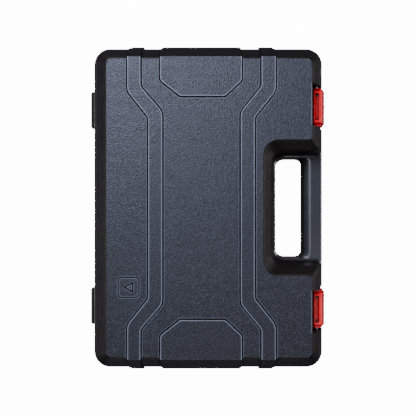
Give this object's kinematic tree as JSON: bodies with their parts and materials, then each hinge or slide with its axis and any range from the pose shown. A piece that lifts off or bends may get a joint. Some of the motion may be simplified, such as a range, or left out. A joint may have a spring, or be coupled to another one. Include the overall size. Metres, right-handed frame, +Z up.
{
  "type": "socket wrench set in case",
  "caption": "Black moulded plastic carry case with red latches and a grip bar, holding ratchets, sockets, extensions, a spinner handle and driver bits.",
  "frame": {"origin": "middle of the underside of the whole bounding box, case lying flat on its base", "axes": "+X along the case's length, -Y out of the handle and latch edge, +Z up through the lid"},
  "size_m": [0.366, 0.266, 0.091],
  "materials": {
    "case_plastic": "moulded pebble grain, satin belts",
    "latch_plastic": "gloss",
    "pin_steel": "drawn wire",
    "tool_chrome": "satin chrome",
    "grip_plastic": "matt",
    "bit_steel": "phosphate grey",
    "lever_plastic": "satin"
  },
  "bodies": {
    "base": {"case_base": "case_plastic", "hinge_pins": "pin_steel", "ratchet_half_body": "tool_chrome", "ratchet_half_cover": "tool_chrome", "ratchet_half_grip": "grip_plastic", "ratchet_quarter_body": "tool_chrome", "ratchet_quarter_cover": "tool_chrome", "ratchet_quarter_grip": "grip_plastic", "socket_half_inch_21": "tool_chrome", "socket_half_inch_22": "tool_chrome", "socket_half_inch_24": "tool_chrome", "socket_half_inch_27": "tool_chrome", "socket_half_inch_30": "tool_chrome", "socket_half_inch_32": "tool_chrome", "socket_half_inch_10": "tool_chrome", "socket_half_inch_12": "tool_chrome", "socket_half_inch_13": "tool_chrome", "socket_half_inch_14": "tool_chrome", "socket_half_inch_15": "tool_chrome", "socket_half_inch_17": "tool_chrome", "socket_half_inch_19": "tool_chrome", "socket_quarter_inch_6": "tool_chrome", "socket_quarter_inch_7": "tool_chrome", "socket_quarter_inch_8": "tool_chrome", "socket_quarter_inch_9": "tool_chrome", "socket_quarter_inch_10": "tool_chrome", "socket_quarter_inch_11": "tool_chrome", "socket_quarter_inch_12": "tool_chrome", "socket_quarter_inch_13": "tool_chrome", "socket_quarter_inch_14": "tool_chrome", "extension_long": "tool_chrome", "extension_short": "tool_chrome", "spark_plug_socket_21": "tool_chrome", "plug_insert_21": "grip_plastic", "spark_plug_socket_16": "tool_chrome", "plug_insert_16": "grip_plastic", "spinner_grip": "grip_plastic", "spinner_shaft": "tool_chrome", "bit_rail_left": "grip_plastic", "bits_left": "bit_steel", "bit_rail_right": "grip_plastic", "bits_right": "bit_steel", "bit_adaptor": "tool_chrome"},
    "lid": {"case_lid": "case_plastic", "latch_pins": "pin_steel"},
    "latch_left": {"latch_left": "latch_plastic"},
    "latch_right": {"latch_right": "latch_plastic"},
    "ratchet_half_drive": {"ratchet_half_drive": "tool_chrome"},
    "ratchet_half_button": {"ratchet_half_button": "tool_chrome"},
    "ratchet_half_lever": {"ratchet_half_lever": "lever_plastic"},
    "ratchet_quarter_drive": {"ratchet_quarter_drive": "tool_chrome"},
    "ratchet_quarter_button": {"ratchet_quarter_button": "tool_chrome"},
    "ratchet_quarter_lever": {"ratchet_quarter_lever": "lever_plastic"}
  },
  "joints": [
    {"name": "lid_hinge", "type": "hinge", "parent": "base", "child": "lid", "pos_m": [0, 0.1285, 0.0455], "axis": [-1, 0, 0], "range_deg": [0, 180]},
    {"name": "latch_left_pivot", "type": "hinge", "parent": "lid", "child": "latch_left", "pos_m": [-0.1115, -0.1225, 0.0675], "axis": [-1, 0, 0], "range_deg": [0, 100]},
    {"name": "latch_right_pivot", "type": "hinge", "parent": "lid", "child": "latch_right", "pos_m": [0.1115, -0.1225, 0.0675], "axis": [-1, 0, 0], "range_deg": [0, 100]},
    {"name": "ratchet_half_drive_turn", "type": "hinge", "parent": "base", "child": "ratchet_half_drive", "pos_m": [-0.148, 0.096, 0.0245], "axis": [0, 0, 1], "continuous": true},
    {"name": "ratchet_half_button_press", "type": "slide", "parent": "ratchet_half_drive", "child": "ratchet_half_button", "axis": [0, 0, -1], "range_m": [0, 0.002], "stiffness_N_per_m": 400},
    {"name": "ratchet_half_lever_turn", "type": "hinge", "parent": "base", "child": "ratchet_half_lever", "pos_m": [-0.137, 0.096, 0.0245], "axis": [0, 0, 1], "range_deg": [0, 60]},
    {"name": "ratchet_quarter_drive_turn", "type": "hinge", "parent": "base", "child": "ratchet_quarter_drive", "pos_m": [-0.155, -0.0355, 0.0295], "axis": [0, 0, 1], "continuous": true},
    {"name": "ratchet_quarter_button_press", "type": "slide", "parent": "ratchet_quarter_drive", "child": "ratchet_quarter_button", "axis": [0, 0, -1], "range_m": [0, 0.0012], "stiffness_N_per_m": 300},
    {"name": "ratchet_quarter_lever_turn", "type": "hinge", "parent": "base", "child": "ratchet_quarter_lever", "pos_m": [-0.1484, -0.0355, 0.0295], "axis": [0, 0, 1], "range_deg": [0, 60]}
  ]
}
